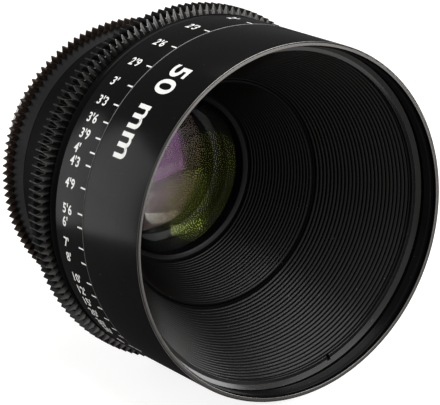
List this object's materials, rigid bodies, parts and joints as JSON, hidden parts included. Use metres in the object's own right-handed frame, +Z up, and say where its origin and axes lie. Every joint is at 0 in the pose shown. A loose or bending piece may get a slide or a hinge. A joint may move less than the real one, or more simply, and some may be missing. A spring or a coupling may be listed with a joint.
{
  "type": "cinema prime lens",
  "caption": "Cinema prime lens: geared focus and iris rings, focusing carriage with glass, bladed iris, ribbed front baffle and bayonet mount.",
  "frame": {"origin": "centre of the camera mount's seating face, on the optical axis", "axes": "+Y along the optical axis towards the camera, so the lens looks towards -Y; +Z up as in the picture"},
  "size_m": [0.1184, 0.132, 0.1184],
  "materials": {
    "black_anodised": "satin",
    "matt_black_baffle": "matt",
    "gear_anodised": "satin",
    "grey_anodised": "satin",
    "mount_steel": "brushed",
    "key_bronze": "machined",
    "blade_steel": "blackened",
    "coated_glass": "coated"
  },
  "bodies": {
    "lens_body": {"front_barrel": "black_anodised", "baffle_retaining_ring": "grey_anodised", "outer_ribbed_baffle": "matt_black_baffle", "main_barrel": "black_anodised", "barrel_screws": "mount_steel", "focus_retaining_ring": "black_anodised", "rear_housing": "black_anodised", "housing_screws": "mount_steel", "rear_cover": "black_anodised", "mount_shim": "mount_steel", "mount_flange": "mount_steel", "mount_screws": "mount_steel", "tail_baffle": "matt_black_baffle"},
    "focus_ring": {"focus_scale_ring": "black_anodised", "focus_helicoid_ring": "black_anodised", "focus_gear": "gear_anodised", "focus_stop_pin": "mount_steel", "focus_ring_screws": "mount_steel"},
    "iris_ring": {"iris_ring": "black_anodised", "iris_gear": "gear_anodised", "iris_drive_bar": "mount_steel"},
    "optical_carriage": {"carriage_barrel": "matt_black_baffle", "inner_ribbed_baffle": "matt_black_baffle", "front_retaining_ring": "grey_anodised", "front_spacer": "matt_black_baffle", "second_retaining_ring": "matt_black_baffle", "stop_retaining_ring": "matt_black_baffle", "rear_cell": "matt_black_baffle", "relay_spacer": "matt_black_baffle", "last_spacer": "matt_black_baffle", "rear_retaining_ring": "black_anodised", "guide_keys": "key_bronze", "key_screws": "mount_steel", "cell_screws": "mount_steel", "iris_base_plate": "matt_black_baffle", "iris_housing": "matt_black_baffle", "front_element": "coated_glass", "second_element": "coated_glass", "front_doublet_crown": "coated_glass", "front_doublet_flint": "coated_glass", "rear_doublet_flint": "coated_glass", "rear_doublet_crown": "coated_glass", "relay_element": "coated_glass", "last_pair_crown": "coated_glass", "rear_element": "coated_glass"},
    "iris_actuator": {"iris_actuator_ring": "blade_steel"},
    "iris_blade_1": {"iris_blade_1": "blade_steel"},
    "iris_blade_2": {"iris_blade_2": "blade_steel"},
    "iris_blade_3": {"iris_blade_3": "blade_steel"},
    "iris_blade_4": {"iris_blade_4": "blade_steel"},
    "iris_blade_5": {"iris_blade_5": "blade_steel"},
    "iris_blade_6": {"iris_blade_6": "blade_steel"},
    "iris_blade_7": {"iris_blade_7": "blade_steel"},
    "iris_blade_8": {"iris_blade_8": "blade_steel"},
    "iris_blade_9": {"iris_blade_9": "blade_steel"},
    "iris_blade_10": {"iris_blade_10": "blade_steel"},
    "iris_blade_11": {"iris_blade_11": "blade_steel"}
  },
  "joints": [
    {"name": "focus_turn", "type": "hinge", "parent": "lens_body", "child": "focus_ring", "pos_m": [0, -0.072, 0], "axis": [0, -1, 0], "range_deg": [0, 190]},
    {"name": "iris_turn", "type": "hinge", "parent": "lens_body", "child": "iris_ring", "pos_m": [0, -0.025, 0], "axis": [0, -1, 0], "range_deg": [0, 40]},
    {"name": "carriage_slide", "type": "slide", "parent": "lens_body", "child": "optical_carriage", "axis": [0, -1, 0], "range_m": [0, 0.00721]},
    {"name": "actuator_turn", "type": "hinge", "parent": "optical_carriage", "child": "iris_actuator", "pos_m": [0, -0.018, 0], "axis": [0, -1, 0], "range_deg": [0, 40.01]},
    {"name": "blade_1_turn", "type": "hinge", "parent": "optical_carriage", "child": "iris_blade_1", "pos_m": [0, -0.02, 0.024], "axis": [0, -1, 0], "range_deg": [0, 36.01]},
    {"name": "blade_2_turn", "type": "hinge", "parent": "optical_carriage", "child": "iris_blade_2", "pos_m": [-0.01298, -0.02, 0.02019], "axis": [0, -1, 0], "range_deg": [0, 36.01]},
    {"name": "blade_3_turn", "type": "hinge", "parent": "optical_carriage", "child": "iris_blade_3", "pos_m": [-0.02183, -0.02, 0.00997], "axis": [0, -1, 0], "range_deg": [0, 36.01]},
    {"name": "blade_4_turn", "type": "hinge", "parent": "optical_carriage", "child": "iris_blade_4", "pos_m": [-0.02376, -0.02, -0.00342], "axis": [0, -1, 0], "range_deg": [0, 36.01]},
    {"name": "blade_5_turn", "type": "hinge", "parent": "optical_carriage", "child": "iris_blade_5", "pos_m": [-0.01814, -0.02, -0.01572], "axis": [0, -1, 0], "range_deg": [0, 36.01]},
    {"name": "blade_6_turn", "type": "hinge", "parent": "optical_carriage", "child": "iris_blade_6", "pos_m": [-0.00676, -0.02, -0.02303], "axis": [0, -1, 0], "range_deg": [0, 36.01]},
    {"name": "blade_7_turn", "type": "hinge", "parent": "optical_carriage", "child": "iris_blade_7", "pos_m": [0.00676, -0.02, -0.02303], "axis": [0, -1, 0], "range_deg": [0, 36.01]},
    {"name": "blade_8_turn", "type": "hinge", "parent": "optical_carriage", "child": "iris_blade_8", "pos_m": [0.01814, -0.02, -0.01572], "axis": [0, -1, 0], "range_deg": [0, 36.01]},
    {"name": "blade_9_turn", "type": "hinge", "parent": "optical_carriage", "child": "iris_blade_9", "pos_m": [0.02376, -0.02, -0.00342], "axis": [0, -1, 0], "range_deg": [0, 36.01]},
    {"name": "blade_10_turn", "type": "hinge", "parent": "optical_carriage", "child": "iris_blade_10", "pos_m": [0.02183, -0.02, 0.00997], "axis": [0, -1, 0], "range_deg": [0, 36.01]},
    {"name": "blade_11_turn", "type": "hinge", "parent": "optical_carriage", "child": "iris_blade_11", "pos_m": [0.01298, -0.02, 0.02019], "axis": [0, -1, 0], "range_deg": [0, 36.01]}
  ],
  "couplings": [
    {"joint": "carriage_slide", "follows": "focus_turn", "m_per_rad": 0.0021712},
    {"joint": "actuator_turn", "follows": "iris_turn", "ratio": 1},
    {"joint": "blade_1_turn", "follows": "iris_turn", "ratio": 0.9},
    {"joint": "blade_2_turn", "follows": "iris_turn", "ratio": 0.9},
    {"joint": "blade_3_turn", "follows": "iris_turn", "ratio": 0.9},
    {"joint": "blade_4_turn", "follows": "iris_turn", "ratio": 0.9},
    {"joint": "blade_5_turn", "follows": "iris_turn", "ratio": 0.9},
    {"joint": "blade_6_turn", "follows": "iris_turn", "ratio": 0.9},
    {"joint": "blade_7_turn", "follows": "iris_turn", "ratio": 0.9},
    {"joint": "blade_8_turn", "follows": "iris_turn", "ratio": 0.9},
    {"joint": "blade_9_turn", "follows": "iris_turn", "ratio": 0.9},
    {"joint": "blade_10_turn", "follows": "iris_turn", "ratio": 0.9},
    {"joint": "blade_11_turn", "follows": "iris_turn", "ratio": 0.9}
  ]
}
